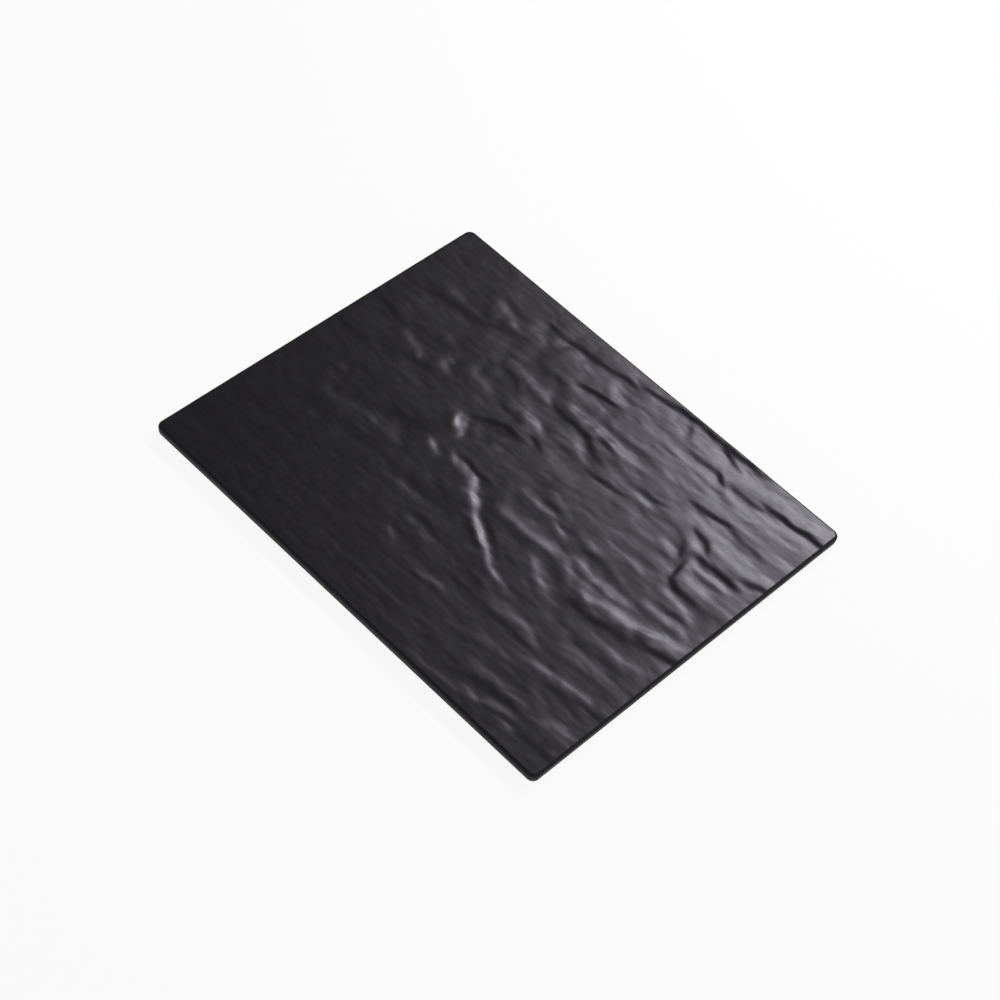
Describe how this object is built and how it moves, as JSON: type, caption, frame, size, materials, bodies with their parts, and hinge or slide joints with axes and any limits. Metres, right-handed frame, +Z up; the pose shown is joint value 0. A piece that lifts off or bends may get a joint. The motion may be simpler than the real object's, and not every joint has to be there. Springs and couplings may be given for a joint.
{
  "type": "rectangular serving platter",
  "caption": "Flat rectangular black melamine serving platter with a riven-slate top, a short hollow skirt and stuck-on silicone feet.",
  "frame": {"origin": "on the table, under the middle of the platter", "axes": "+X along the long side, +Y along the short side away from the front, +Z up"},
  "size_m": [0.325, 0.265, 0.01],
  "materials": {
    "melamine": "satin black, riven-slate texture moulded in",
    "adhesive": "translucent off-white acrylic tape",
    "silicone": "matt dark grey silicone"
  },
  "bodies": {
    "root": {"platter": "melamine", "adhesive_disc_front_left": "adhesive", "adhesive_disc_front_right": "adhesive", "adhesive_disc_back_right": "adhesive", "adhesive_disc_back_left": "adhesive", "foot_front_left": "silicone", "foot_front_right": "silicone", "foot_back_right": "silicone", "foot_back_left": "silicone"}
  },
  "joints": []
}
